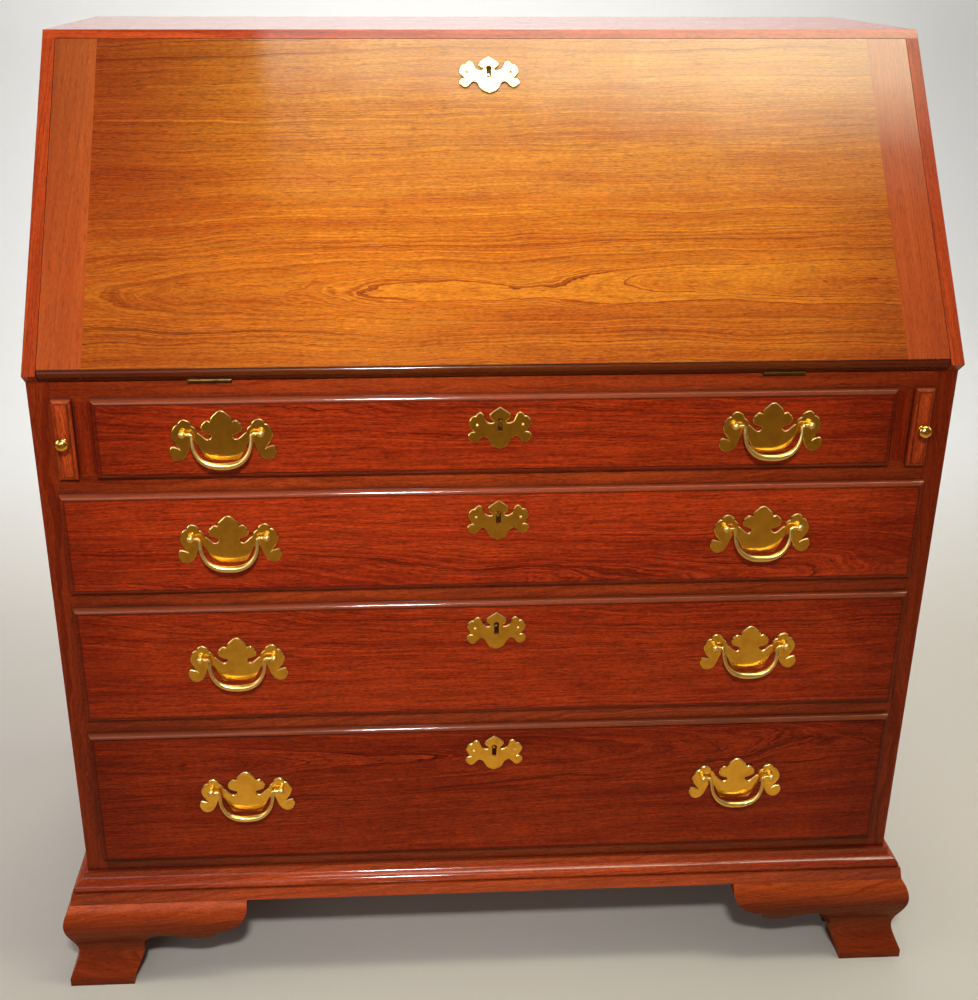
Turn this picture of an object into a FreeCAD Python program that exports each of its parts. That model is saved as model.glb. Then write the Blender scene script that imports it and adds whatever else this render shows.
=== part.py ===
import FreeCAD, Part
import math
import os

# Slant-front desk. Millimetres: +X to the right seen from the front, +Y to the back, +Z up.
# While it is modelled, Y = 0 is the front of the case and Z = 0 is the floor.

V = FreeCAD.Vector

# Case
case_width = 915.0
case_depth = 498.0
desk_height = 1027.0
side_thickness = 22.0
top_thickness = 19.0
bottom_thickness = 22.0
writing_thickness = 20.5
back_thickness = 6.0
back_rabbet = 10.0
blade_height = 24.5
blade_depth = 60.0
housing_depth = 6.0
housing_setback = 12.0
runner_width = 40.0
runner_thickness = 16.0
dust_thickness = 5.0
dust_tongue = 6.0
side_tongue_thickness = 8.0
side_tongue_height = 8.0
side_tongue_setback = 25.0

# Base moulding and feet
foot_height = 107.8
base_height = 33.0
base_reveal = 19.2
base_top_proud = 4.5
base_bottom_proud = 19.3
base_fillet = 2.5
base_cove_height = 7.0
base_cove_sag = 1.0
base_bead_top_proud = 8.6
base_bead_bulge = 3.2
base_quirk = 3.0
base_fascia_height = 13.2
base_fascia_proud = 17.3
pad_height = 10.0
toe_proud = 28.0
ankle_proud = 17.0
ankle_height = 41.0
bulge_proud = 28.2
bulge_drop = 26.0
foot_top_proud = 19.0
shin_hollow = 1.4
brow_proud = 24.7
brow_drop = 8.7
bracket_length = 178.0
bracket_drop = 51.0
bracket_end_drop = 39.6
bracket_step_length = 34.9
step_notch_width = 2.3
step_notch_height = 5.6
curve_ease = 3.5
leg_toe_width = 44.5
leg_ankle_width = 57.8
block_width = 28.0
block_lift = 12.0

# Drawers, from the top one down
opening_heights = (75.0, 103.0, 127.5, 159.0)
pull_rises = (7.5, 9.3, 10.0, 11.3)
drawer_gap = 1.0
running_gap = 0.3
lip_side = 3.0
lip_height = 4.0
lip_proud = 8.0
thumb_radius = 5.0
field_step = 1.0
field_margin = 0.7
front_depth = 14.0
drawer_depth = 440.0
drawer_wall = 12.0
drawer_bottom = 6.0
drawer_bottom_lift = 8.0
drawer_groove = 4.0
drawer_headroom = 3.0
tail_length = 9.0
tail_flare = 2.2
tail_pitch = 32.0
tail_share = 0.55

# Lopers
partition_thickness = 20.0
partition_depth = 420.0
loper_slot = 20.0
loper_gap = 0.4
loper_length = 400.0
loper_thumb_radius = 3.0
loper_knob_radius = 6.6
loper_knob_length = 14.0

# Lid
slope_degrees = 51.9
lid_thickness = 16.0
lid_strip = 13.0
lid_side_gap = 0.5
lid_end_gap = 0.5
lid_rest_gap = 0.3
top_strip = 10.6
lid_end_width = 42.2
lid_tongue_length = 10.0
lid_tongue_thickness = 5.0

# Hinges
hinge_spread = 282.0
hinge_length = 42.0
hinge_leaf = 18.0
hinge_leaf_thickness = 2.0
knuckle_radius = 2.5
knuckle_share = 3.0
hinge_pin_radius = 1.2
hinge_pin_gap = 0.06
knuckle_gap = 0.3
screw_radius = 1.4
screw_head_radius = 2.8
screw_length = 10.0
screw_line = 11.2
screw_shares = (0.2, 0.5, 0.8)

# Locks
lock_width = 50.0
lock_height = 40.0
lock_depth = 9.0
bolt_width = 16.0
bolt_thickness = 4.0
bolt_length = 14.0
bolt_travel = 5.0
bolt_gap = 0.3
keyhole_radius = 3.0
keyhole_slot = 2.4
keyhole_top = 4.2
keyhole_foot = 7.0
key_pin_radius = 1.3
key_pin_setback = 4.0
keyhole_drop = 26.0
lid_keyhole_drop = 40.0
lid_lock_height = 52.0

# Brass plates and pulls
plate_thickness = 1.8
plate_bevel = 0.6
nail_radius = 1.5
nail_spread = 22.6
pull_spread = 272.5
post_spread = 38.1
post_lift = 2.0
post_standoff = 4.4
post_ball_radius = 3.6
post_neck_radius = 2.6
post_shank_radius = 2.0
nut_radius = 6.0
nut_thickness = 3.0
bail_radius = 1.8
bail_grip_radius = 3.4
bail_pin_radius = 1.6
bail_pin_gap = 0.05
bail_pin_depth = 3.0
bail_gap = 0.3
bail_drop = 32.0
bail_throw = 5.0
bail_neck = 2.8
bail_turn = 2.6
bail_squareness = 2.4
bail_steps = 24

# Writing interior
gallery_setback = 34.0
gallery_board = 8.0
gallery_drawer_share = 0.2
gallery_paper_share = 0.24
gallery_drawer_count = 4
gallery_hole_count = 8
gallery_gap = 0.5
gallery_front_thickness = 10.0
gallery_wall = 6.0
gallery_floor = 4.0
gallery_knob_radius = 6.5
gallery_knob_length = 13.0

# Worked out from the sizes above
half_width = case_width / 2
inner_half = half_width - side_thickness
drawer_floor = foot_height + base_height + base_reveal
bottom_under = drawer_floor - bottom_thickness
base_top = foot_height + base_height
writing_under = drawer_floor + sum(opening_heights) + blade_height * (len(opening_heights) - 1)
hinge_height = writing_under + writing_thickness
top_under = desk_height - top_thickness
back_inside = case_depth - back_thickness
slope_sin = math.sin(math.radians(slope_degrees))
slope_cos = math.cos(math.radians(slope_degrees))
nose_y = -lid_thickness * slope_sin
nose_z = hinge_height + lid_thickness * slope_cos
slope_length = (desk_height - nose_z) / slope_sin
lid_stop = slope_length - top_strip
lid_top = lid_stop - lid_end_gap
lid_half = half_width - lid_strip - lid_side_gap
panel_half = lid_half - lid_end_width
partition_outer = inner_half - loper_slot
upper_half = partition_outer - partition_thickness
opening_halves = (upper_half, inner_half, inner_half, inner_half)
plate_face = -lip_proud - plate_thickness
post_axis = plate_face - post_standoff
bail_end = post_spread - post_ball_radius - bail_gap
bail_arm = bail_end - bail_neck - bail_turn
shoulder_n = (top_under - hinge_height - lid_stop * slope_sin) / slope_cos
shoulder_y = lid_stop * slope_cos - shoulder_n * slope_sin
gallery_front = shoulder_y + gallery_setback
gallery_height = top_under - hinge_height
gallery_shelf = hinge_height + gallery_height * gallery_drawer_share
gallery_top = top_under - gallery_height * gallery_paper_share - gallery_board

# A turned knob's curve from stem to tip, in shares of its radius and length
knob_profile = ((0.42, 0), (0.38, 0.35), (1, 0.7), (0.6, 0.95), (0, 1))

# Right halves of the brass outlines, crown to foot, in runs that meet at sharp points
pull_outline = (
    ((0, 24.6), (1.6, 24.4), (3.4, 23.5), (5.4, 21.7), (8.2, 19.1), (10.2, 16.2), (11.2, 13.5)),
    ((11.2, 13.5), (14.2, 14.4), (17.0, 12.2)),
    ((17.0, 12.2), (20.0, 7.6), (19.4, 3.8), (16.0, 1.4), (10.4, -0.6)),
    ((10.4, -0.6), (11.0, -3.4), (13.6, -5.0), (17.0, -3.6), (23.6, 1.8)),
    ((23.6, 1.8), (25.5, 6.4), (28.9, 9.2)),
    ((28.9, 9.2), (31.0, 13.4), (34.4, 15.3), (37.4, 15.6), (40.6, 13.6), (42.2, 10.6)),
    ((42.2, 10.6), (45.0, 9.4), (47.8, 5.6), (49.6, 0.8), (48.6, -4.4), (45.6, -9.4), (42.2, -14.6)),
    ((42.2, -14.6), (45.6, -13.0), (49.6, -12.2)),
    ((49.6, -12.2), (51.8, -15.2), (52.2, -19.4), (49.8, -24.0), (44.6, -26.8), (39.4, -25.2), (35.3, -20.8),
     (32.8, -15.0), (28.8, -6.6)),
    ((28.8, -6.6), (25.4, -9.0), (22.8, -13.2), (20.2, -18.6), (15.6, -26.6)),
    ((15.6, -26.6), (0, -27.2)),
)
escutcheon_outline = (
    ((0, 18.4), (3.6, 16.0), (8.2, 12.7), (10.6, 9.4), (9.4, 6.4), (6.0, 4.0)),
    ((6.0, 4.0), (6.6, 2.3), (8.9, 1.8), (14.0, 5.0)),
    ((14.0, 5.0), (15.6, 8.8), (17.5, 11.9), (19.6, 12.9), (22.0, 11.8), (24.2, 9.0)),
    ((24.2, 9.0), (26.4, 8.8), (29.2, 6.2), (30.8, 1.6), (29.2, -2.8), (25.8, -7.3)),
    ((25.8, -7.3), (28.8, -7.9), (31.4, -10.8)),
    ((31.4, -10.8), (31.0, -13.8), (28.6, -16.6), (25.3, -18.4), (21.7, -16.9), (19.0, -13.8), (16.2, -11.8),
     (12.6, -13.6), (10.2, -17.6), (7.8, -21.3), (4.6, -23.5), (0, -25.4)),
)


def box(x0, x1, y0, y1, z0, z1):
    return Part.makeBox(x1 - x0, y1 - y0, z1 - z0, V(x0, y0, z0))


def rod_x(x0, x1, y, z, radius):
    return Part.makeCylinder(radius, x1 - x0, V(x0, y, z), V(1, 0, 0))


def rod_y(x, y0, y1, z, radius):
    return Part.makeCylinder(radius, y1 - y0, V(x, y0, z), V(0, 1, 0))


def mirrored(shape):
    return shape.mirror(V(0, 0, 0), V(1, 0, 0))


def run_edge(points):
    if len(points) == 2:
        return Part.makeLine(points[0], points[1])
    curve = Part.BSplineCurve()
    curve.interpolate(list(points))
    return curve.toShape()


def face_of(runs):
    return Part.Face(Part.Wire([run_edge(run) for run in runs]))


def board(points, x0, x1):
    """A board with the same Y-Z section from x0 to x1."""
    corners = [V(x0, y, z) for y, z in points]
    return Part.Face(Part.makePolygon(corners + corners[:1])).extrude(V(x1 - x0, 0, 0))


def leaning(shape):
    """Leans what was modelled upright on the floor line to the lid's place on the slope."""
    leaned = shape.copy()
    leaned.rotate(V(0, 0, 0), V(1, 0, 0), slope_degrees - 90)
    return moved(leaned, 0, 0, hinge_height)


def thumbnail_slab(x0, x1, z0, z1, face, back, radius, foot_only=False):
    """A slab whose field stands field_step proud of a rounded edge, all round it or along its foot only."""
    edge_face = face + field_step
    slab = box(x0, x1, edge_face, back, z0, z1)
    front_edges = [e for e in slab.Edges if all(v.Y < edge_face + field_step / 2 for v in e.Vertexes)]
    if foot_only:
        front_edges = [e for e in front_edges if all(v.Z < z0 + field_step for v in e.Vertexes)]
    slab = slab.makeFillet(radius, front_edges)
    foot = radius + field_margin
    inset = 0 if foot_only else foot
    field = box(x0 + inset, x1 - inset, face, edge_face, z0 + foot, z1 - inset)
    return slab.fuse(field)


def moved(shape, x, y, z):
    copy = shape.copy()
    copy.translate(V(x, y, z))
    return copy


def brass_plate(outline):
    """A thin bevelled plate of a mirrored outline, with its back at Y = 0."""
    right = [[V(x, 0, z) for x, z in run] for run in outline]
    left = [[V(-x, 0, z) for x, z in reversed(run)] for run in reversed(outline)]
    plate = face_of(right + left).extrude(V(0, -plate_thickness, 0))
    rim = [e for e in plate.Edges if all(v.Y < -plate_thickness / 2 for v in e.Vertexes)]
    return plate.makeChamfer(plate_bevel, rim)


pull_plate = brass_plate(pull_outline)
key_plate = brass_plate(escutcheon_outline)


def keyhole(x, z, y0, y1):
    slot = box(x - keyhole_slot, x + keyhole_slot, y0, y1, z - keyhole_foot, z + keyhole_top)
    return slot.fuse(rod_y(x, y0, y1, z + keyhole_top, keyhole_radius))


def escutcheon(z, face):
    """The lock's face plate with its keyhole, and the two nails that hold it."""
    plate = moved(key_plate, 0, face, z)
    plate = plate.cut(keyhole(0, z, face - plate_thickness - field_step, face + field_step))
    dome = Part.makeSphere(nail_radius, V(0, 0, 0), V(0, -1, 0), 0, 90, 360)
    nails = [moved(dome, x, face - plate_thickness, z) for x in (-nail_spread, nail_spread)]
    return [plate] + nails


def lock(z_top, height, key_z, back, face):
    """A lock case let into the back of a board, the pocket for it, its bolt and the bolt's path."""
    pocket = box(-lock_width / 2, lock_width / 2, back - lock_depth, back, z_top - height, z_top)
    middle = back - lock_depth / 2
    y0 = middle - bolt_thickness / 2
    y1 = middle + bolt_thickness / 2
    bolt = box(-bolt_width / 2, bolt_width / 2, y0, y1, z_top - bolt_gap - bolt_length, z_top - bolt_gap)
    path = box(-bolt_width / 2 - bolt_gap, bolt_width / 2 + bolt_gap, y0 - bolt_gap, y1 + bolt_gap,
               z_top - bolt_length - 2 * bolt_gap, z_top + bolt_travel + drawer_gap)
    pin = rod_y(0, face + key_pin_setback, back - lock_depth, key_z, key_pin_radius)
    return pocket.cut(path).fuse(pin), pocket, bolt, path


def side():
    """The right side: nose, sloped edge with a rebate for the lid, and a tongue into the top board."""
    slope_end = (nose_y + lid_stop * slope_cos, nose_z + lid_stop * slope_sin)
    outline = ((0, foot_height), (0, hinge_height), (nose_y, nose_z), slope_end, (shoulder_y, top_under),
               (case_depth, top_under), (case_depth, foot_height))
    blank = board(outline, inner_half, half_width)
    rebate = leaning(box(inner_half, half_width - lid_strip, -2 * lid_thickness, lid_rest_gap,
                         -lid_thickness, lid_stop))
    middle = half_width - side_thickness / 2
    tongue = box(middle - side_tongue_thickness / 2, middle + side_tongue_thickness / 2,
                 shoulder_y + side_tongue_setback, back_inside - side_tongue_setback,
                 top_under, top_under + side_tongue_height)
    return blank.cut(rebate).fuse(tongue)


def top_board():
    slope_end = (nose_y + lid_stop * slope_cos, nose_z + lid_stop * slope_sin)
    slope_start = (nose_y + slope_length * slope_cos, desk_height)
    outline = (slope_start, slope_end, (shoulder_y, top_under), (case_depth, top_under),
               (case_depth, desk_height))
    return board(outline, -half_width, half_width)


def housed_board(z0, z1, depth):
    """A board between the sides, with its ends housed in them behind a set-back front."""
    seen = box(-inner_half, inner_half, 0, depth, z0, z1)
    ends = box(-inner_half - housing_depth, inner_half + housing_depth, housing_setback, depth, z0, z1)
    return seen.fuse(ends).removeSplitter()


def runner_pair(level_top, runner_half):
    """Left and right drawer runners, level with the top of their blade, and the dust panel between."""
    z0 = level_top - runner_thickness
    right = box(runner_half - runner_width, inner_half + housing_depth, blade_depth, back_inside,
                z0, level_top)
    panel_z = level_top - runner_thickness / 2 - dust_thickness / 2
    panel_half_width = runner_half - runner_width + dust_tongue
    panel = box(-panel_half_width, panel_half_width, blade_depth - dust_tongue, back_inside,
                panel_z, panel_z + dust_thickness)
    right = right.cut(panel)
    return right, mirrored(right), panel


def mitre_cutter(keep_front):
    """Cuts away one side of the upright 45 degree plane through the case's front right corner."""
    reach = toe_proud + side_thickness + base_bottom_proud
    corner = V(half_width, 0, -pad_height)
    sign = 1 if keep_front else -1
    points = [corner + V(reach, -reach, 0), corner + V(-reach, reach, 0),
              corner + V(reach * sign, reach * sign, 0)]
    return Part.Face(Part.makePolygon(points + points[:1])).extrude(V(0, 0, base_top + 2 * pad_height))


def base_section():
    """The base moulding's section, as runs of (how far it stands out, height)."""
    cove_top = (base_top_proud, base_top - base_fillet)
    bead_top = (base_bead_top_proud, base_top - base_fillet - base_cove_height)
    cove_middle = ((cove_top[0] + bead_top[0]) / 2 - base_cove_sag,
                   (cove_top[1] + bead_top[1]) / 2 - base_cove_sag)
    fascia_top = (base_fascia_proud, foot_height + base_fascia_height)
    bead_foot = (base_fascia_proud - base_quirk, fascia_top[1])
    bead_middle = ((bead_top[0] + bead_foot[0]) / 2 + base_bead_bulge, (bead_top[1] + bead_foot[1]) / 2)
    return (
        ((0, base_top), (base_top_proud, base_top)),
        ((base_top_proud, base_top), cove_top),
        (cove_top, cove_middle, bead_top),
        (bead_top, bead_middle, bead_foot),
        (bead_foot, fascia_top),
        (fascia_top, (base_bottom_proud, foot_height)),
        ((base_bottom_proud, foot_height), (0, foot_height)),
        ((0, foot_height), (0, base_top)),
    )


def base_moulding():
    """Front length mitred at both ends, and the right side length mitred at its front end."""
    reach = half_width + base_bottom_proud
    runs = [[V(-reach, -p, z) for p, z in run] for run in base_section()]
    front = face_of(runs).extrude(V(2 * reach, 0, 0))
    front = front.cut(mitre_cutter(True)).cut(mirrored(mitre_cutter(True)))
    runs = [[V(half_width + p, -base_bottom_proud, z) for p, z in run] for run in base_section()]
    right = face_of(runs).extrude(V(0, case_depth + base_bottom_proud, 0))
    return front, right.cut(mitre_cutter(False))


def foot_section():
    """The ogee: toe pad, ankle, bulge and top, as runs of (how far it stands out, height)."""
    bulge_height = foot_height - bulge_drop
    waist = ((ankle_proud + bulge_proud) / 2, (ankle_height + bulge_height) / 2)
    shin = ((toe_proud + ankle_proud) / 2 - shin_hollow, (pad_height + ankle_height) / 2)
    brow = (brow_proud, foot_height - brow_drop)
    return (
        ((-side_thickness, 0), (toe_proud, 0)),
        ((toe_proud, 0), (toe_proud, pad_height)),
        ((toe_proud, pad_height), shin, (ankle_proud, ankle_height), waist, (bulge_proud, bulge_height), brow,
         (foot_top_proud, foot_height)),
        ((foot_top_proud, foot_height), (-side_thickness, foot_height)),
        ((-side_thickness, foot_height), (-side_thickness, 0)),
    )


def bracket_outline():
    """The bracket seen from in front, as runs of (distance in from the case corner, height)."""
    lobe = foot_height - bracket_drop
    step = foot_height - bracket_end_drop
    rim = bracket_length - bracket_step_length
    notch = (rim - step_notch_width, step - step_notch_height)
    outer = -toe_proud - base_bottom_proud
    return (
        ((outer, 0), (leg_toe_width, 0)),
        ((leg_toe_width, 0), (leg_toe_width, pad_height)),
        ((leg_toe_width, pad_height), (leg_ankle_width - curve_ease, ankle_height / 2 + pad_height),
         (leg_ankle_width, ankle_height)),
        ((leg_ankle_width, ankle_height), (leg_ankle_width + curve_ease, lobe),
         (leg_ankle_width + 4 * curve_ease, lobe + 2 * curve_ease),
         ((leg_ankle_width + rim) / 2, lobe + curve_ease), (rim - 4 * curve_ease, lobe), notch),
        (notch, (rim, step)),
        ((rim, step), (rim + 4 * curve_ease, step + curve_ease),
         (bracket_length - curve_ease, foot_height - bracket_end_drop / 2), (bracket_length, foot_height)),
        ((bracket_length, foot_height), (outer, foot_height)),
        ((outer, foot_height), (outer, 0)),
    )


def front_bracket():
    """The front half of the right front foot, running in from the case corner."""
    x0 = half_width - bracket_length
    x1 = half_width + toe_proud + base_bottom_proud
    runs = [[V(x0, -p, z) for p, z in run] for run in foot_section()]
    ogee = face_of(runs).extrude(V(x1 - x0, 0, 0))
    runs = [[V(half_width - d, -x1, z) for d, z in run] for run in bracket_outline()]
    outline = face_of(runs).extrude(V(0, 2 * x1, 0))
    return ogee.common(outline)


def side_bracket():
    """The side half of the right front foot: the front half turned over the corner's mitre."""
    return front_bracket().mirror(V(half_width, 0, 0), V(1, 1, 0))


def front_foot():
    front = front_bracket().cut(mitre_cutter(True))
    side_half = side_bracket().cut(mitre_cutter(False))
    block = box(inner_half - block_width, inner_half, side_thickness, side_thickness + block_width,
                block_lift, bottom_under)
    return [front, side_half, block]


def rear_foot():
    """Moulded on the outside like the front feet, with a plain board across the back."""
    behind = box(0, case_width, -case_depth, 0, 0, foot_height)
    side_half = side_bracket().cut(behind).mirror(V(0, case_depth / 2, 0), V(0, 1, 0))
    rear = case_depth - side_thickness
    runs = [[V(half_width - d, rear, z) for d, z in run] for run in bracket_outline()]
    plain = face_of(runs).extrude(V(0, side_thickness, 0))
    plain = plain.common(box(0, inner_half, 0, case_depth, 0, foot_height))
    block = box(inner_half - block_width, inner_half, rear - block_width, rear, block_lift, bottom_under)
    return [side_half, plain, block]


def drawer_levels():
    """Bottom and top of each drawer opening, from the top drawer down."""
    levels = []
    top = writing_under
    for height in opening_heights:
        levels.append((top - height, top))
        top -= height + blade_height
    return levels


def post(x, z, side_sign):
    """A pull's post, turned in one piece: ball bored for the bail, neck, and a shank through the front."""
    neck_y = post_axis + math.sqrt(post_ball_radius ** 2 - post_neck_radius ** 2)
    end = front_depth + nut_thickness
    tip = V(0, post_axis - post_ball_radius, 0)
    ball_end = V(post_neck_radius, neck_y, 0)
    ball = Part.Arc(tip, V(post_ball_radius, post_axis, 0), ball_end).toShape()
    rest = Part.makePolygon([ball_end, V(post_neck_radius, plate_face, 0),
                             V(post_shank_radius, plate_face, 0), V(post_shank_radius, end, 0),
                             V(0, end, 0), tip])
    turned = Part.Face(Part.Wire([ball] + rest.Edges)).revolve(V(0, 0, 0), V(0, 1, 0), 360)
    turned = moved(turned, x, 0, z)
    mouth = x - side_sign * 2 * post_ball_radius
    pin_end = x - side_sign * (post_ball_radius - bail_pin_depth)
    bore = rod_x(min(mouth, pin_end), max(mouth, pin_end), post_axis, z, bail_pin_radius + bail_pin_gap)
    return turned.cut(bore)


def pull(centre, z):
    """Plate, posts and nuts of one pull; the holes for its shanks; and its bail."""
    plate = moved(pull_plate, centre, -lip_proud, z - post_lift)
    solids = []
    shanks = []
    for side_sign in (-1, 1):
        x = centre + side_sign * post_spread
        solids.append(post(x, z, side_sign))
        shank = rod_y(x, plate_face, front_depth + 2 * nut_thickness, z, post_shank_radius)
        nut = rod_y(x, front_depth, front_depth + nut_thickness, z, nut_radius)
        solids.append(nut.cut(shank))
        shanks.append(shank)
    plate = plate.cut(shanks)
    return [plate] + solids, shanks, bail(centre, z)


def bail(centre, z):
    """The swinging handle: a rod bent to a U and forward, thicker at the grip, with a neck and a pin into each post."""
    drop = bail_drop - bail_turn
    path = []
    for i in range(4):
        angle = math.pi / 8 * i
        path.append((bail_end - bail_neck - bail_turn * math.sin(angle), bail_turn * (math.cos(angle) - 1), angle,
                     bail_radius))
    for i in range(bail_steps // 2 + 1):
        angle = math.pi * i / bail_steps
        across = math.cos(angle) ** (2 / bail_squareness)
        down = math.sin(angle) ** (2 / bail_squareness)
        heading = math.atan2(across ** (bail_squareness - 1) / bail_arm, down ** (bail_squareness - 1) / drop)
        radius = bail_radius + (bail_grip_radius - bail_radius) * math.sin(angle) ** 3
        path.append((bail_arm * across, -bail_turn - drop * down, heading, radius))
    path += [(-x, rise, -heading, radius) for x, rise, heading, radius in reversed(path[:-1])]
    rings = []
    for x, rise, heading, radius in path:
        ring = Part.Wire(Part.makeCircle(radius, V(0, 0, 0), V(1, 0, 0)))
        ring.rotate(V(0, 0, 0), V(0, 1, 0), -math.degrees(heading))
        throw = bail_throw * math.sin(math.pi / 2 * -rise / bail_drop)
        rings.append(moved(ring, centre + x, post_axis - throw, z + rise))
    reach = post_spread - post_ball_radius + bail_pin_depth - bail_pin_gap
    neck = bail_end - bail_neck
    ends = [rod_x(centre + neck, centre + bail_end, post_axis, z, bail_radius),
            rod_x(centre - bail_end, centre - neck, post_axis, z, bail_radius),
            rod_x(centre + neck, centre + reach, post_axis, z, bail_pin_radius),
            rod_x(centre - reach, centre - neck, post_axis, z, bail_pin_radius)]
    return Part.makeLoft(rings, True).fuse(ends)


def tails(x0, x1, z0, z1):
    """Dovetails on a drawer side's front end, as many as its height has room for."""
    count = max(1, int((z1 - z0) / tail_pitch))
    pitch = (z1 - z0) / count
    cut = pitch * (1 - tail_share) / 2
    shapes = []
    for i in range(count):
        low = z0 + i * pitch + cut
        high = z0 + (i + 1) * pitch - cut
        outline = ((front_depth, low), (front_depth, high),
                   (front_depth - tail_length, high + tail_flare),
                   (front_depth - tail_length, low - tail_flare))
        shapes.append(board(outline, x0, x1))
    return shapes


def drawer(index, nodes):
    """One lipped drawer: front, box, brasses, two bails and a lock bolt. Returns its lock bolt's path."""
    z0, z1 = drawer_levels()[index]
    half = opening_halves[index]
    box_half = half - drawer_gap
    key_z = z1 - keyhole_drop
    front = thumbnail_slab(-half - lip_side, half + lip_side, z0 - lip_height, z1 + lip_height,
                           -lip_proud, -running_gap, thumb_radius)
    front = front.fuse(box(-box_half, box_half, -running_gap, front_depth, z0 + drawer_gap, z1 - drawer_gap))

    side_low = z0 + running_gap
    side_high = z1 - drawer_headroom
    bottom_z = side_low + drawer_bottom_lift
    floor = box(-box_half + drawer_wall - drawer_groove, box_half - drawer_wall + drawer_groove,
                front_depth - drawer_groove, drawer_depth, bottom_z, bottom_z + drawer_bottom)
    right = box(box_half - drawer_wall, box_half, front_depth, drawer_depth, side_low, side_high)
    right_tails = tails(box_half - drawer_wall, box_half, side_low + drawer_gap, side_high - drawer_gap)
    right = right.fuse(right_tails).removeSplitter().cut(floor)
    left = mirrored(right)
    back = box(-box_half + drawer_wall, box_half - drawer_wall, drawer_depth - drawer_wall, drawer_depth,
               bottom_z + drawer_bottom, side_high)

    lock_case, pocket, bolt, path = lock(z1 - drawer_gap, lock_height, key_z, front_depth, -lip_proud)
    key_cut = keyhole(0, key_z, -lip_proud - field_step, front_depth - lock_depth)
    brasses = [lock_case] + escutcheon(key_z, -lip_proud)
    cuts = [left, right, floor, pocket, key_cut]
    pull_z = (z0 + z1) / 2 + pull_rises[index]
    bails = {}
    for name, centre in (("left", -pull_spread), ("right", pull_spread)):
        solids, shanks, bails[name] = pull(centre, pull_z)
        brasses += solids
        cuts += shanks

    label = "drawer_%d_" % (index + 1)
    nodes[label + "front"] = [front.removeSplitter().cut(cuts)]
    nodes[label + "box"] = [left, right, back, floor]
    nodes[label + "brasses"] = brasses
    nodes[label + "bail_left"] = [bails["left"]]
    nodes[label + "bail_right"] = [bails["right"]]
    nodes[label + "lock_bolt"] = [bolt]
    return path


def turned_knob(x, z, face, radius, length):
    """A turned knob on a short stem that stands out from Y = face."""
    curve = [V(radius * across, face - length * along, 0) for across, along in knob_profile]
    start = V(0, face, 0)
    knob = face_of(((start, curve[0]), curve, (curve[-1], start))).revolve(V(0, 0, 0), V(0, 1, 0), 360)
    return moved(knob, x, 0, z)


def loper():
    """The right lid support: a board on edge with a moulded facing, and its brass knob."""
    z0, z1 = drawer_levels()[0]
    x0 = partition_outer + loper_gap
    x1 = inner_half - loper_gap
    arm = box(x0, x1, -running_gap, loper_length, z0 + running_gap, z1 - drawer_gap)
    facing = thumbnail_slab(x0, x1, z0 - lip_height, z1 + lip_height, -lip_proud, -running_gap,
                            loper_thumb_radius)
    knob = turned_knob((x0 + x1) / 2, (z0 + z1) / 2, -lip_proud, loper_knob_radius, loper_knob_length)
    return facing.fuse(arm).removeSplitter(), knob


def hinge_parts():
    """Case leaves with pins and screws, lid leaves with screws, and the cuts that both boards need."""
    case_side = []
    lid_side = []
    case_cuts = []
    lid_cuts = []
    third = hinge_length / knuckle_share
    for centre in (-hinge_spread, hinge_spread):
        x0 = centre - hinge_length / 2
        x1 = centre + hinge_length / 2
        middle = (centre - third / 2, centre + third / 2)
        wide = knuckle_radius + knuckle_gap
        barrel = rod_x(x0, x1, 0, 0, knuckle_radius)
        clear = rod_x(x0 - knuckle_gap, x1 + knuckle_gap, 0, 0, wide)
        mid_clear = rod_x(middle[0] - knuckle_gap, middle[1] + knuckle_gap, 0, 0, wide)
        mid_slot = box(middle[0] - knuckle_gap, middle[1] + knuckle_gap, -hinge_leaf, wide, -wide, wide)
        pin = rod_x(x0, x1, 0, 0, hinge_pin_radius)
        leaf = box(x0, x1, 0, hinge_leaf, -hinge_leaf_thickness, 0)
        screws = []
        for share in screw_shares:
            x = x0 + hinge_length * share
            shank = Part.makeCylinder(screw_radius, screw_length, V(x, screw_line, -screw_length))
            head = Part.makeCone(screw_radius, screw_head_radius, hinge_leaf_thickness,
                                 V(x, screw_line, -hinge_leaf_thickness))
            screws.append(shank.fuse(head).removeSplitter())
        outer = leaf.fuse(barrel).cut([mid_slot, pin] + screws)
        inner = barrel.common(box(middle[0], middle[1], -hinge_leaf, hinge_leaf, -hinge_leaf, hinge_leaf))
        inner = inner.cut(rod_x(x0, x1, 0, 0, hinge_pin_radius + hinge_pin_gap))
        lid_leaf = leaf.cut(clear.cut(mid_clear)).cut(rod_x(x0, x1, 0, 0, hinge_pin_radius + hinge_pin_gap))
        turned = lid_leaf.cut(screws).fuse(inner).removeSplitter()
        case_side += [outer, pin] + screws
        lid_side += [turned] + screws
        case_cuts += [leaf, clear] + screws
        lid_cuts += [leaf, clear] + screws

    def to_case(shape):
        return moved(shape, 0, 0, hinge_height)

    def to_lid(shape):
        return shape.mirror(V(0, 0, 0), V(0, 1, -1))

    return ([to_case(s) for s in case_side], [to_lid(s) for s in lid_side],
            [to_case(s) for s in case_cuts], [to_lid(s) for s in lid_cuts])


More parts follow.
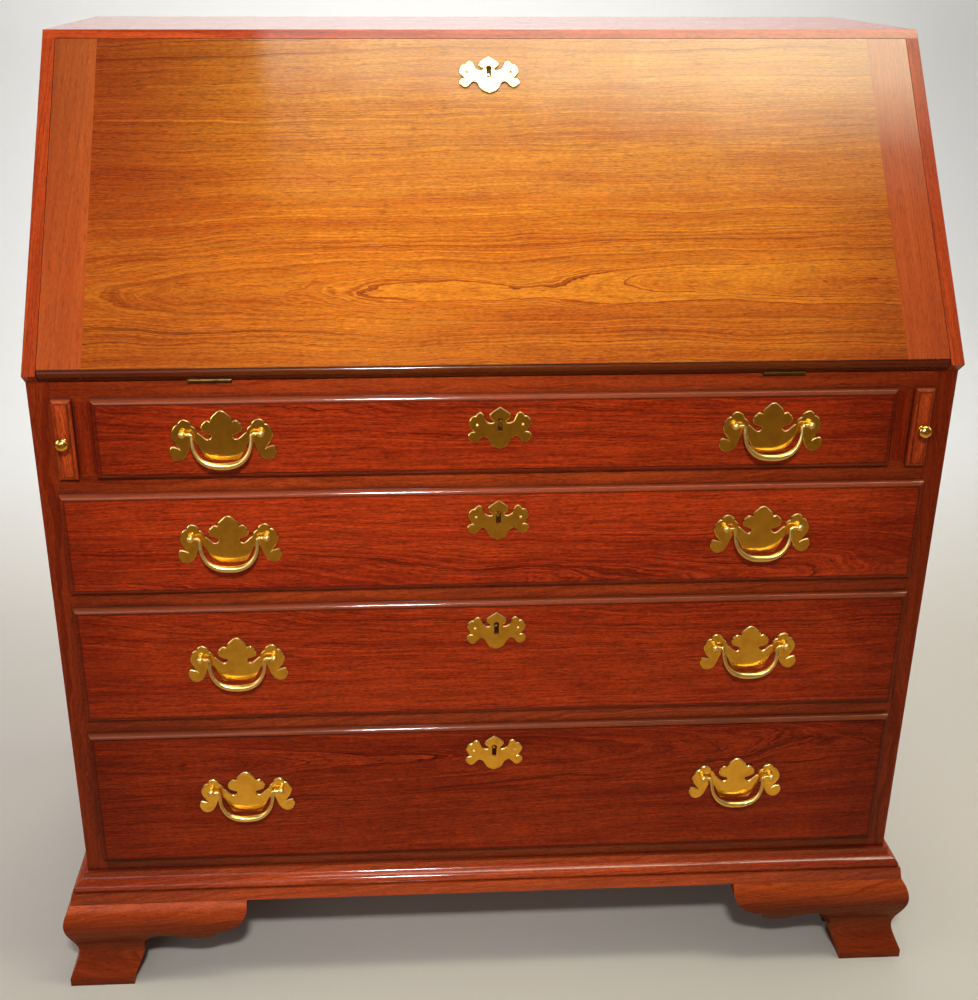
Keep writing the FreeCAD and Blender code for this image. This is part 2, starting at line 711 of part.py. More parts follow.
def lid(nodes, hinge_solids, hinge_cuts):
    """The lid, modelled upright on the hinge line and then leaned back. Returns its lock bolt's path."""
    blank = thumbnail_slab(-lid_half, lid_half, lid_end_gap, lid_top, -lid_thickness, 0, thumb_radius,
                           foot_only=True).removeSplitter()
    inside = box(-panel_half, panel_half, -2 * lid_thickness, lid_thickness, 0, slope_length)
    middle = -lid_thickness / 2
    tongue = box(-panel_half - lid_tongue_length, panel_half + lid_tongue_length,
                 middle - lid_tongue_thickness / 2, middle + lid_tongue_thickness / 2,
                 lid_end_gap + lid_thickness, lid_top - lid_thickness)
    ends = blank.cut([inside, tongue]).Solids
    key_z = lid_top - lid_keyhole_drop
    lock_case, pocket, bolt, path = lock(lid_top, lid_lock_height, key_z, 0, -lid_thickness)
    key_cut = keyhole(0, key_z, -lid_thickness - field_step, -lock_depth)
    panel = blank.common(inside).fuse(tongue).cut([pocket, key_cut] + hinge_cuts)
    left, right = sorted(ends, key=lambda end: end.CenterOfMass.x)
    nodes["lid_panel"] = [leaning(panel)]
    nodes["lid_end_left"] = [leaning(left)]
    nodes["lid_end_right"] = [leaning(right)]
    nodes["lid_hinge_leaves"] = [leaning(s) for s in hinge_solids]
    nodes["lid_lock"] = [leaning(s) for s in [lock_case] + escutcheon(key_z, -lid_thickness)]
    nodes["lid_lock_bolt"] = [leaning(bolt)]
    return leaning(path)


def gallery(nodes):
    """Small drawers under a shelf, pigeonholes above it, and a shelf over those."""
    shelves = []
    for z in (gallery_shelf, gallery_top):
        shelves.append(box(-inner_half, inner_half, gallery_front, back_inside, z, z + gallery_board))
    dividers = []
    for z0, z1, count in ((hinge_height, gallery_shelf, gallery_drawer_count),
                          (gallery_shelf + gallery_board, gallery_top, gallery_hole_count)):
        pitch = (2 * inner_half - gallery_board) / count
        for i in range(count + 1):
            x = -inner_half + i * pitch
            dividers.append(box(x, x + gallery_board, gallery_front, back_inside, z0, z1))
    nodes["gallery_shelves"] = shelves
    nodes["gallery_dividers"] = dividers

    pitch = (2 * inner_half - gallery_board) / gallery_drawer_count
    y0 = gallery_front
    y1 = back_inside - gallery_wall
    z0 = hinge_height + running_gap
    z1 = gallery_shelf - gallery_gap
    for i in range(gallery_drawer_count):
        x0 = -inner_half + i * pitch + gallery_board + gallery_gap
        x1 = x0 + pitch - gallery_board - 2 * gallery_gap
        inner_y = y0 + gallery_front_thickness
        front = box(x0, x1, y0, inner_y, z0, z1)
        low_wall = z1 - gallery_wall
        walls = [box(x0, x0 + gallery_wall, inner_y, y1, z0, low_wall),
                 box(x1 - gallery_wall, x1, inner_y, y1, z0, low_wall),
                 box(x0 + gallery_wall, x1 - gallery_wall, y1 - gallery_wall, y1, z0, low_wall),
                 box(x0 + gallery_wall, x1 - gallery_wall, inner_y, y1 - gallery_wall,
                     z0, z0 + gallery_floor)]
        knob = turned_knob((x0 + x1) / 2, (z0 + z1) / 2, y0, gallery_knob_radius, gallery_knob_length)
        nodes["gallery_drawer_%d" % (i + 1)] = [front] + walls + [knob]


def case(nodes, hinge_cuts, lock_paths, hinge_solids):
    """The carcass, with every housing, rabbet and mortise cut by the piece that fits it."""
    levels = drawer_levels()
    back = box(-inner_half - back_rabbet, inner_half + back_rabbet, back_inside, case_depth,
               bottom_under, top_under + side_tongue_height)
    bottom = housed_board(bottom_under, drawer_floor, back_inside)
    writing = housed_board(writing_under, hinge_height, back_inside)
    blades = []
    runners = []
    for i in range(len(levels) - 1):
        blade_top = levels[i][0]
        right, left, panel = runner_pair(blade_top, opening_halves[i])
        blade = housed_board(blade_top - blade_height, blade_top, blade_depth).cut(panel)
        blades.append(blade)
        runners += [right, left, panel]

    housed = [bottom, writing, back] + blades + runners
    right_side = side().cut(housed)
    left_side = mirrored(side()).cut(housed)
    nodes["left_side"] = [left_side]
    nodes["right_side"] = [right_side]
    nodes["top_board"] = [top_board().cut([right_side, left_side, back, lock_paths["lid"]])]
    nodes["back_panel"] = [back]
    nodes["bottom_board"] = [bottom]
    nodes["writing_board"] = [writing.cut(hinge_cuts + [lock_paths[0]])]
    for i, blade in enumerate(blades):
        nodes["drawer_blade_%d" % (i + 1)] = [blade.cut(lock_paths[i + 1])]
    nodes["drawer_runners"] = runners
    partition = box(upper_half, partition_outer, 0, partition_depth, levels[0][0], levels[0][1])
    nodes["loper_partitions"] = [partition, mirrored(partition)]
    rail = box(-inner_half, inner_half, 0, side_thickness, foot_height, bottom_under)
    nodes["base_rails"] = [rail, moved(rail, 0, case_depth - side_thickness, 0)]
    nodes["case_hinge_leaves"] = hinge_solids


def base(nodes):
    front, right = base_moulding()
    nodes["base_moulding_front"] = [front]
    nodes["base_moulding_right"] = [right]
    nodes["base_moulding_left"] = [mirrored(right)]
    for name, solids in (("front", front_foot()), ("rear", rear_foot())):
        nodes["foot_%s_right" % name] = solids
        nodes["foot_%s_left" % name] = [mirrored(solid) for solid in solids]


def desk():
    """Every node's solids, with Y = 0 at the case front."""
    nodes = {}
    case_hinges, lid_hinges, case_cuts, lid_cuts = hinge_parts()
    lock_paths = {i: drawer(i, nodes) for i in range(len(opening_heights))}
    lock_paths["lid"] = lid(nodes, lid_hinges, lid_cuts)
    case(nodes, case_cuts, lock_paths, case_hinges)
    base(nodes)
    gallery(nodes)
    arm, knob = loper()
    nodes["loper_right"] = [arm]
    nodes["loper_left"] = [mirrored(arm)]
    nodes["loper_knob_right"] = [knob]
    nodes["loper_knob_left"] = [mirrored(knob)]
    return nodes


# The origin is on the floor under the middle of the whole desk
shapes = {}
for name, parts in desk().items():
    shapes[name] = Part.makeCompound([solid for shape in parts for solid in shape.Solids])
whole = Part.makeCompound(list(shapes.values())).BoundBox
to_origin = V(0, -(whole.YMin + whole.YMax) / 2, 0)

os.makedirs("parts", exist_ok=True)
for name, shape in shapes.items():
    shape.translate(to_origin)
    shape.exportStep("parts/%s.step" % name)
print("nodes", len(shapes), "size", whole.XLength, whole.YLength, whole.ZLength, "shift", to_origin.y)
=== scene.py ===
import math
from functools import partial

import bmesh
import bpy
from mathutils import Matrix, Vector


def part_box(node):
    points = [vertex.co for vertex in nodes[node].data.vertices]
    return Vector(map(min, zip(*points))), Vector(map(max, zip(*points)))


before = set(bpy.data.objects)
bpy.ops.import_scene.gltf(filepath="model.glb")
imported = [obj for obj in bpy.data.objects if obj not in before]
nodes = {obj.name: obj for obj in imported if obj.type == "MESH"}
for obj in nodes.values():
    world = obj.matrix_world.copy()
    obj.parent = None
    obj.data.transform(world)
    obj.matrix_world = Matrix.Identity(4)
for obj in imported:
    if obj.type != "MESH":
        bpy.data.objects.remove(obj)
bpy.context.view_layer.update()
scene = bpy.context.scene

# Directions in the desk's frame, with those of the lid's slope, and of grain, width and depth in each kind of board
X, Y, Z = (1, 0, 0), (0, 1, 0), (0, 0, 1)
FORWARD = (0, -1, 0)
SLOPE = math.radians(51.9)
UP_SLOPE = (0.0, math.cos(SLOPE), math.sin(SLOPE))
OFF_SLOPE = (0.0, -math.sin(SLOPE), math.cos(SLOPE))
ALONG_X = (X, Z, Y)
ALONG_Y = (Y, Z, X)
ALONG_Z = (Z, X, Y)
TOP_X = (X, Y, Z)
SIDE_UP = (Z, Y, X)
LID_X = (X, UP_SLOPE, OFF_SLOPE)
LID_UP = (UP_SLOPE, X, OFF_SLOPE)

# Cherry, from its light ground to its dark lines
LID_TONES = ((0.52, 0.163, 0.010), (0.37, 0.076, 0.005), (0.12, 0.015, 0.003))
END_TONES = ((0.34, 0.062, 0.010), (0.27, 0.044, 0.008), (0.13, 0.018, 0.004))
CASE_TONES = ((0.41, 0.038, 0.006), (0.23, 0.013, 0.003), (0.05, 0.003, 0.001))
FRAME_TONES = ((0.45, 0.060, 0.010), (0.28, 0.030, 0.006), (0.09, 0.008, 0.003))
INNER_TONES = ((0.40, 0.090, 0.020), (0.30, 0.058, 0.013), (0.12, 0.020, 0.006))
PALE_TONES = ((0.60, 0.44, 0.26), (0.50, 0.35, 0.19), (0.30, 0.19, 0.10))
# Painted shade: the near-black red that darkens corners, gaps and the lines at lip steps
PAINTED_CREASE_SHADE = (0.030, 0.007, 0.003)
# Painted shade on the lid's lower lip
LOWER_LIP_SHADE = (0.060, 0.006, 0.002)
# Painted highlight on the upper lips of the drawers and lopers
UPPER_LIP_HIGHLIGHT = (0.55, 0.17, 0.06)
# Painted highlight: the pale gold of brass glints
GLINT_GOLD = (0.98, 0.72, 0.25)
ROOM = (0.62, 0.60, 0.57)

# What a colour is multiplied by
TONER = (0.46, 0.30, 0.34)
# For the lid: toning at one board's ends, and painted shade towards its foot
LID_TONE_AND_SHADE = (0.50, 0.24, 0.34)
# Painted light: paler and more golden towards the lid's top
TOP_LIGHT_TINT = (0.94, 1.15, 1.3)
# Painted light on the feet's upward-facing bulge
LIT_BULGE = (1.9, 2.2, 2.2)
# Painted shade on the feet where they face down
UNDERSIDE_SHADE = (0.55, 0.5, 0.5)
FLOOR_MIRRORED = (1.0, 0.73, 0.41)

# The lips of the lid, the drawers and the lopers, in metres: how wide they are, over what width their painted shade and
# highlight end, how far behind the face their finish reaches, and where the painted shade line at their step is full
# and where it is gone
LIP_STEP = 0.0057
LOPER_STEP = 0.0037
LIP_BLEND = 0.0008
LIP_DEPTH = 0.0078
STEP_SHADE_WIDTHS = (0.0003, 0.0011)

# Where the grain turns: at a drawer's sides, at the mitre of a front foot and at the rear board of a rear foot
DRAWER_WALL = 0.0125
FOOT_CORNER = 0.4857
FOOT_BOARD = 0.022


def deeper(tones, share):
    """The same wood under a deeper stain, or darkened as painted shade."""
    return tuple(tuple(share * part for part in tone) for tone in tones)


class Tree:
    """Short ways to add nodes to one node tree."""

    def __init__(self, tree):
        self.tree = tree

    def add(self, kind, **settings):
        node = self.tree.nodes.new(kind)
        for name, value in settings.items():
            setattr(node, name, value)
        return node

    def feed(self, socket, value):
        if isinstance(value, bpy.types.NodeSocket):
            self.tree.links.new(value, socket)
        else:
            socket.default_value = value

    def math(self, operation, first, second=0.0, third=0.0):
        node = self.add("ShaderNodeMath", operation=operation)
        for socket, value in zip(node.inputs, (first, second, third)):
            self.feed(socket, value)
        return node.outputs[0]

    def vector(self, operation, first, second=(0.0, 0.0, 0.0)):
        node = self.add("ShaderNodeVectorMath", operation=operation)
        self.feed(node.inputs[0], first)
        self.feed(node.inputs[1], second)
        return node.outputs["Value" if operation in ("DOT_PRODUCT", "LENGTH") else "Vector"]

    def rest(self, output="Object"):
        return self.add("ShaderNodeTexCoord").outputs[output]

    def along(self, axis, output="Object"):
        return self.vector("DOT_PRODUCT", self.rest(output), axis)

    def noise(self, vector, scale, detail=2.0, roughness=0.5, output="Factor"):
        stretched = self.vector("MULTIPLY", vector, scale)
        node = self.add("ShaderNodeTexNoise")
        self.feed(node.inputs["Vector"], stretched)
        self.feed(node.inputs["Scale"], 1.0)
        self.feed(node.inputs["Detail"], detail)
        self.feed(node.inputs["Roughness"], roughness)
        return node.outputs[0 if output == "Factor" else 1]

    def fit(self, value, low, high, to_low=0.0, to_high=1.0, smooth=False):
        node = self.add("ShaderNodeMapRange", interpolation_type="SMOOTHSTEP" if smooth else "LINEAR")
        for socket, number in zip(node.inputs, (value, low, high, to_low, to_high)):
            self.feed(socket, number)
        return node.outputs[0]

    def ramp(self, value, stops):
        node = self.add("ShaderNodeValToRGB")
        elements = node.color_ramp.elements
        while len(elements) < len(stops):
            elements.new(0.5)
        for element, (position, level) in zip(elements, stops):
            element.position = position
            element.color = (level, level, level, 1.0)
        self.feed(node.inputs[0], value)
        return node.outputs[0]

    def mix(self, factor, first, second, blend="MIX"):
        node = self.add("ShaderNodeMix", data_type="RGBA", blend_type=blend)
        self.feed(node.inputs[0], factor)
        for socket, colour in ((node.inputs[6], first), (node.inputs[7], second)):
            self.feed(socket, tuple(colour) + (1.0,) if isinstance(colour, tuple) else colour)
        return node.outputs[2]

    def pick(self, factor, first, second):
        node = self.add("ShaderNodeMix", data_type="VECTOR")
        self.feed(node.inputs[0], factor)
        self.feed(node.inputs[4], first)
        self.feed(node.inputs[5], second)
        return node.outputs[1]

    def bump(self, shader, height, strength, distance):
        node = self.add("ShaderNodeBump")
        for name, value in (("Height", height), ("Strength", strength), ("Distance", distance)):
            self.feed(node.inputs[name], value)
        self.feed(shader.inputs["Normal"], node.outputs[0])


def new_material(name):
    """A material with its node tree and its shader."""
    material = bpy.data.materials.new(name)
    material.use_nodes = True
    return material, Tree(material.node_tree), material.node_tree.nodes["Principled BSDF"]


def figure_group():
    """Wood figure round a pith that runs along X: growth rings, fibres, flecks, pores and slow changes of tone."""
    group = bpy.data.node_groups.new("wood_figure", "ShaderNodeTree")
    sides = group.interface
    sides.new_socket("Vector", in_out="INPUT", socket_type="NodeSocketVector")
    for name, default in (("Rings", 400.0), ("Wander", 0.02)):
        sides.new_socket(name, in_out="INPUT", socket_type="NodeSocketFloat").default_value = default
    for name in ("Lines", "Pale Lines", "Fibres", "Flecks", "Pores", "Tone"):
        sides.new_socket(name, in_out="OUTPUT", socket_type="NodeSocketFloat")
    t = Tree(group)
    start = t.add("NodeGroupInput")
    end = t.add("NodeGroupOutput")
    place = start.outputs["Vector"]

    bent = place
    for scale, share in (((2.6, 9.0, 9.0), 1.0), ((10.0, 30.0, 30.0), 0.3), ((36.0, 150.0, 150.0), 0.08)):
        drift = t.vector("SUBTRACT", t.noise(place, scale, 2.0, 0.5, "Color"), (0.5, 0.5, 0.5))
        spread = t.add("ShaderNodeCombineXYZ")
        for socket in spread.inputs[1:]:
            t.feed(socket, t.math("MULTIPLY", start.outputs["Wander"], share))
        bent = t.vector("ADD", bent, t.vector("MULTIPLY", drift, spread.outputs[0]))
    radius = t.vector("LENGTH", t.vector("MULTIPLY", bent, (0.0, 1.0, 1.0)))
    count = t.math("MULTIPLY", radius, start.outputs["Rings"])
    uneven = t.add("ShaderNodeTexNoise", noise_dimensions="1D")
    t.feed(uneven.inputs["W"], t.math("MULTIPLY", count, 0.21))
    count = t.math("ADD", count, t.math("MULTIPLY", uneven.outputs[0], 5.0))
    within = t.math("FRACT", count)
    line = t.ramp(within, ((0.0, 0.0), (0.55, 0.08), (0.8, 0.35), (0.92, 1.0), (1.0, 0.0)))
    pale = t.ramp(within, ((0.0, 0.0), (0.05, 1.0), (0.22, 0.0)))
    each = t.add("ShaderNodeTexWhiteNoise", noise_dimensions="1D")
    t.feed(each.inputs["W"], t.math("FLOOR", count))
    strength = t.ramp(each.outputs[0], ((0.0, 0.15), (0.5, 0.32), (0.75, 0.6), (0.9, 1.0)))
    fading = t.fit(t.noise(place, (5.0, 40.0, 40.0), 2.0), 0.36, 0.58, 0.35, 1.0)
    shown = t.math("MULTIPLY", strength, fading)
    t.feed(end.inputs["Lines"], t.math("MULTIPLY", line, shown))
    t.feed(end.inputs["Pale Lines"], t.math("MULTIPLY", pale, shown))
    t.feed(end.inputs["Fibres"], t.noise(place, (9.0, 330.0, 330.0), 4.0, 0.7))
    t.feed(end.inputs["Flecks"], t.noise(place, (200.0, 760.0, 760.0), 2.0, 0.6))
    t.feed(end.inputs["Pores"], t.fit(t.noise(place, (60.0, 850.0, 850.0), 1.0), 0.60, 0.70, smooth=True))
    growth = t.add("ShaderNodeTexNoise", noise_dimensions="1D")
    t.feed(growth.inputs["W"], t.math("MULTIPLY", count, 0.4))
    tone = t.math("MULTIPLY", growth.outputs[0], 0.42)
    for scale, share in (((1.0, 15.0, 15.0), 0.22), ((5.0, 75.0, 75.0), 0.26), ((11.0, 17.0, 17.0), 0.10)):
        tone = t.math("MULTIPLY_ADD", t.noise(place, scale, 3.0, 0.55), share, tone)
    t.feed(end.inputs["Tone"], tone)
    return group


FIGURE = figure_group()


def board_place(t, axes, pith, lean):
    """Coordinates of a board with its grain along X, its pith at the given place and lean."""
    turned = t.add("ShaderNodeCombineXYZ")
    for socket, axis in zip(turned.inputs, axes):
        t.feed(socket, t.along(axis))
    placed = t.add("ShaderNodeMapping", vector_type="TEXTURE")
    t.feed(placed.inputs["Vector"], turned.outputs[0])
    t.feed(placed.inputs["Location"], pith)
    t.feed(placed.inputs["Rotation"], tuple(math.radians(a) for a in lean))
    return placed.outputs[0]


def crevice_shade(t):
    """Painted shade in corners and gaps, from ambient occlusion: 1 deep in a corner or gap, 0 in the open."""
    open_air = t.add("ShaderNodeAmbientOcclusion", samples=4)
    t.feed(open_air.inputs["Distance"], 0.009)
    return t.fit(open_air.outputs["AO"], 0.35, 0.85, 0.85, 0.0)


def lacquered_wood(name, tones, place_of, rings=300.0, wander=0.02, lines=0.85, pale=0.15, streaks=0.25, specks=0.28,
                   gloss=0.28, coat=0.25, finish=None):
    """Cherry under satin lacquer. place_of gives the board's own coordinates, finish shades the colour."""
    material, t, shader = new_material(name)
    figure = t.add("ShaderNodeGroup", node_tree=FIGURE)
    t.feed(figure.inputs["Vector"], place_of(t))
    t.feed(figure.inputs["Rings"], rings)
    t.feed(figure.inputs["Wander"], wander)
    fibres, flecks, pores = (figure.outputs[output] for output in ("Fibres", "Flecks", "Pores"))
    light, middle, dark = tones
    colour = t.mix(t.fit(figure.outputs["Tone"], 0.40, 0.62, smooth=True), light, middle)
    colour = t.mix(t.math("MULTIPLY", figure.outputs["Pale Lines"], pale), colour, tuple(1.4 * part for part in light))
    colour = t.mix(t.math("MULTIPLY", figure.outputs["Lines"], lines), colour, dark)
    grain = t.math("MULTIPLY", t.fit(fibres, 0.34, 0.66, 1.0 - 1.1 * streaks, 1.0 + streaks),
                   t.fit(flecks, 0.32, 0.68, 1.0 - 1.2 * specks, 1.0 + specks))
    shade = t.add("ShaderNodeCombineColor")
    for socket in shade.inputs[:3]:
        t.feed(socket, grain)
    colour = t.mix(1.0, colour, shade.outputs[0], "MULTIPLY")
    colour = t.mix(t.math("MULTIPLY", pores, 0.45), colour, dark)
    if finish:
        colour = finish(t, colour)
    # Painted shade: the colour darkens where ambient occlusion finds a corner or gap
    t.feed(shader.inputs["Base Color"], t.mix(crevice_shade(t), colour, PAINTED_CREASE_SHADE))
    t.feed(shader.inputs["Roughness"], t.fit(fibres, 0.35, 0.65, gloss + 0.06, gloss - 0.03))
    shader.inputs["Specular IOR Level"].default_value = 0.06
    t.feed(shader.inputs["Coat Weight"], coat(t) if callable(coat) else coat)
    shader.inputs["Coat Roughness"].default_value = 0.09
    height = t.math("SUBTRACT", t.math("ADD", fibres, flecks), pores)
    t.bump(shader, height, 0.10, 0.0003)
    return material


def edge_gaps(t, low, high):
    """Distances from the ends, from all edges and from the upper edge of a board that faces the front."""
    gaps = []
    for axis, start, stop in ((X, low.x, high.x), (Z, low.z, high.z)):
        along = t.along(axis)
        above = t.math("SUBTRACT", stop, along)
        gaps.append(t.math("MINIMUM", t.math("SUBTRACT", along, start), above))
    return gaps[0], t.math("MINIMUM", *gaps), above


def lipped(low, high, lip, reach, step_shade, toning=0.3, step=LIP_STEP):
    """Finish of a front with a rounded lip round a raised field: painted shade on its lips with a painted highlight on
    the upper one, darker toned ends, and a painted shade line at the step."""
    def shade(t, colour):
        end, edge, above = edge_gaps(t, low, high)
        shown = t.math("GREATER_THAN", t.along(FORWARD), -low.y - LIP_DEPTH)
        toned = t.fit(end, step, step + reach, toning, 0.0, smooth=True)
        # Painted shade: the lips darken towards the case's darkest tone
        rounded = t.fit(edge, step - LIP_BLEND, step, lip, 0.0)
        # Painted highlight: the upper lip is made paler
        upper = t.math("MULTIPLY", t.fit(above, step - LIP_BLEND, step, 0.2, 0.0), t.math("LESS_THAN", above, end))
        # Painted shade: a dark line along the step between lip and field
        line = t.fit(t.math("ABSOLUTE", t.math("SUBTRACT", edge, step)), *STEP_SHADE_WIDTHS, step_shade, 0.0)
        colour = t.mix(t.math("MULTIPLY", shown, toned), colour, TONER, "MULTIPLY")
        colour = t.mix(t.math("MULTIPLY", shown, rounded), colour, CASE_TONES[2])
        colour = t.mix(t.math("MULTIPLY", shown, upper), colour, UPPER_LIP_HIGHLIGHT)
        return t.mix(t.math("MULTIPLY", shown, line), colour, PAINTED_CREASE_SHADE)
    return shade


def lip_gloss(low, high, face, lip):
    """Coat of a lipped front, glossiest on its upper lip."""
    return lambda t: t.fit(edge_gaps(t, low, high)[2], LIP_STEP - LIP_BLEND, LIP_STEP, lip, face)


def span(node_names, axis):
    """How far nodes reach along an axis at rest."""
    reach = [point.co.dot(Vector(axis)) for name in node_names for point in nodes[name].data.vertices]
    return min(reach), max(reach)


def plain_wood(name, place_of):
    """Unfinished pale wood for what is hidden."""
    return lacquered_wood(name, PALE_TONES, place_of, lines=0.45, gloss=0.62, coat=0.0)


def brass(name, colour, shade, gloss, raised=None):
    """Polished brass with slight clouding and fine polishing lines. Before the Y of raised, and on bevels above and
    below, it
    has a painted highlight: paler and rougher."""
    material, t, shader = new_material(name)
    place = t.rest()
    cloud = t.noise(place, (70.0, 70.0, 70.0), 4.0, 0.6)
    tone = t.mix(t.fit(cloud, 0.4, 0.7, smooth=True), colour, shade)
    polish = t.noise(place, (160.0, 900.0, 2400.0), 2.0)
    rough = t.fit(t.math("ADD", cloud, polish), 0.7, 1.3, gloss - 0.04, gloss + 0.1)
    if raised is not None:
        # Painted highlight: posts before the plates and the bevels are made paler and rougher
        before = t.math("LESS_THAN", t.along(Y), raised)
        bevel = t.fit(t.math("ABSOLUTE", t.along(Z, "Normal")), 0.3, 0.6)
        glinting = t.math("MAXIMUM", before, bevel)
        tone = t.mix(glinting, tone, GLINT_GOLD)
        rough = t.math("MULTIPLY_ADD", glinting, 0.2, rough)
    t.feed(shader.inputs["Base Color"], tone)
    t.feed(shader.inputs["Roughness"], rough)
    shader.inputs["Metallic"].default_value = 1.0
    t.bump(shader, polish, 0.05, 0.0002)
    return material


def whole(axes, pith, lean=(0, 0, 0)):
    """Place of a board whose grain runs one way all over."""
    return lambda t: board_place(t, axes, pith, lean)


def split(axis, limit, inside, outside, absolute=False):
    """Place of a node with two grain directions: inside up to limit along axis, or both ways if absolute, and outside
    beyond it."""
    def place(t):
        along = t.along(axis)
        if absolute:
            along = t.math("ABSOLUTE", along)
        return t.pick(t.math("GREATER_THAN", along, limit), inside(t), outside(t))
    return place


def wear(node, material):
    """Gives a CAD node its material in every slot."""
    mesh = nodes[node].data
    if not mesh.materials:
        mesh.materials.append(material)
    for i in range(len(mesh.materials)):
        mesh.materials[i] = material


# How far the lid and the case's front reach, in metres
lid_nodes = ("lid_end_left", "lid_panel", "lid_end_right")
lid_s = span(lid_nodes, UP_SLOPE)
lid_n = span(lid_nodes, OFF_SLOPE)
panel_x = span(("lid_panel",), X)
case_front = -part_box("writing_board")[0].y
nose_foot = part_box("writing_board")[1].z


def over_foot(t):
    """How far up the lid from its foot."""
    return t.math("SUBTRACT", t.along(UP_SLOPE), lid_s[0])


def lid_coat(t):
    """Full gloss on the lid's face, less on its worn lower lip."""
    return t.fit(over_foot(t), LIP_STEP - LIP_BLEND, LIP_STEP, 0.35, 1.0)


def toned_ends(t, colour, first, last, reaches, left, right, toner=TONER):
    """Colour toned darker towards both ends along X."""
    along = t.along(X)
    gaps = t.math("SUBTRACT", along, first), t.math("SUBTRACT", last, along)
    for gap, reach, share in zip(gaps, reaches, (left, right)):
        colour = t.mix(t.fit(gap, 0.0, reach, share, 0.0, smooth=True), colour, toner, "MULTIPLY")
    return colour


def lid_finish(first, last, reaches, left, right, foot):
    """The lid's lower lip and the step over it in painted shade, painted shade towards its foot and painted light, more
    golden, towards its top, with one board's ends toned darker. left and right are the toning at the foot and at the
    top."""
    def shade(t, colour):
        up = over_foot(t)
        left_end, right_end = (t.fit(up, 0.06, 0.24, *share, smooth=True) for share in (left, right))
        # Painted light: paler and more golden towards the top
        colour = t.mix(t.fit(up, 0.10, 0.36, smooth=True), colour, TOP_LIGHT_TINT, "MULTIPLY")
        colour = toned_ends(t, colour, first, last, reaches, left_end, right_end, LID_TONE_AND_SHADE)
        # Painted shade: darker towards the foot
        colour = t.mix(t.fit(up, 0.0, 0.14, foot, 0.0, smooth=True), colour, LID_TONE_AND_SHADE, "MULTIPLY")
        # Painted shade: the lower lip darkened
        colour = t.mix(t.fit(up, LIP_STEP - LIP_BLEND, LIP_STEP, 0.85, 0.0), colour, LOWER_LIP_SHADE)
        # Painted shade: a dark line along the step over the lower lip
        from_step = t.math("ABSOLUTE", t.math("SUBTRACT", up, LIP_STEP))
        return t.mix(t.fit(from_step, *STEP_SHADE_WIDTHS, 0.75, 0.0), colour, PAINTED_CREASE_SHADE)
    return shade


def side_finish(t, colour):
    """A side's front edge, stained darker than its slope and its outer face."""
    front = t.math("GREATER_THAN", t.along(FORWARD), case_front - 0.001)
    low = t.math("LESS_THAN", t.along(Z), nose_foot)
    return t.mix(t.math("MULTIPLY", t.math("MULTIPLY", front, low), 0.75), colour, TONER, "MULTIPLY")


def foot_finish(t, colour):
    """A foot with painted light, paler over its bulge, and painted shade where it faces down."""
    facing = t.along(Z, "Normal")
    bulge = t.math("MULTIPLY", t.fit(facing, 0.0, 0.6), t.fit(t.along(Z), 0.045, 0.065))
    # Painted light: the bulge made paler where it faces up
    colour = t.mix(bulge, colour, LIT_BULGE, "MULTIPLY")
    # Painted shade: darker where the foot faces down
    return t.mix(t.fit(facing, 0.05, -0.5), colour, UNDERSIDE_SHADE, "MULTIPLY")


# The wood of each node. A pith is (along, across, depth) in the board's own directions, in metres, and its lean is in
# degrees.
wear("lid_panel", lacquered_wood("lid_cherry", LID_TONES,
                                 whole(LID_X, (0.0, lid_s[0] + 0.085, lid_n[1] - 0.0245), (0, -2.8, 0.6)), rings=210.0,
                                 wander=0.032, lines=1.0, pale=0.6, streaks=0.15, specks=0.2, gloss=0.24, coat=lid_coat,
                                 finish=lid_finish(*panel_x, (0.30, 0.14), (0.5, 1.0), (0.55, 0.4), 0.4)))
for label, side in (("left", -1), ("right", 1)):
    first, last = span(("lid_end_" + label,), X)
    outer = {-1: ((0.05, 0.3), (0.0, 0.0), 0.0), 1: ((0.0, 0.0), (0.25, 0.1), 0.15)}[side]
    wear("lid_end_" + label, lacquered_wood("lid_end_%s_cherry" % label, deeper(END_TONES, 1.1 + 0.04 * side),
                                            whole(LID_UP, (0.1 * side, 0.33 * side, lid_n[0] - 0.09), (0, 1, 2)),
                                            wander=0.012, lines=0.3, streaks=0.08, specks=0.1, gloss=0.24,
                                            coat=lid_coat, finish=lid_finish(first, last, (0.06, 0.06), *outer)))
    along_slope = whole(LID_UP, (0.1, 0.38 * side, lid_n[1] - 0.06), (0, 1, 1))
    upright = whole(SIDE_UP, (0.1, 0.03, 0.38 * side), (0, 2, 1))
    slope_skin = span((label + "_side",), OFF_SLOPE)[1] - 0.004
    wear(label + "_side", lacquered_wood(label + "_side_cherry", deeper(FRAME_TONES, 0.85),
                                         split(OFF_SLOPE, slope_skin, upright, along_slope),
                                         lines=0.6, streaks=0.12, specks=0.18, finish=side_finish))

